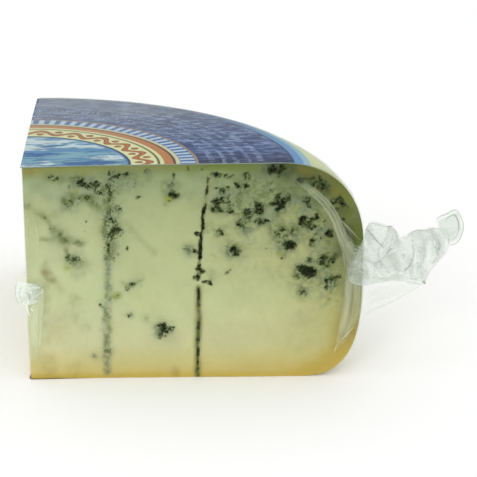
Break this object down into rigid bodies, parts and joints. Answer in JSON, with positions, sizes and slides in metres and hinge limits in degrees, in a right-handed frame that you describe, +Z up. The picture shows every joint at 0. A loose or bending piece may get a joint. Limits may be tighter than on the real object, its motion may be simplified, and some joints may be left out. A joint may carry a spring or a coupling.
{
  "type": "blue goat cheese wedge",
  "caption": "Quarter of a wheel of blue goat cheese with mould pockets and piercing channels on its cut faces, a printed paper top label, and clear film gathered in a pleated tail.",
  "frame": {"origin": "on the base, under the middle of the wedge, 65 mm along X and 68 mm along Y from the wheel's axis, where the two cut faces meet", "axes": "+Z up; -Y out of the front cut face; +X from the wheel's axis to the rind along the front cut face; the wheel's axis stands at x -0.065, y -0.068"},
  "size_m": [0.1703, 0.142, 0.0878],
  "materials": {
    "blue_cheese": "moist pale paste, yellower at the base and olive under the rind, with blue-green to black mould in pockets and channels",
    "label_paper": "printed paper in blue, cream, orange and tan fields, under film",
    "clear_film": "thin clear wrapping film, glossy, whitish where it is folded"
  },
  "bodies": {
    "root": {"cheese": "blue_cheese", "label": "label_paper", "film_wrap": "clear_film", "film_tail": "clear_film", "film_fold": "clear_film"}
  },
  "joints": []
}
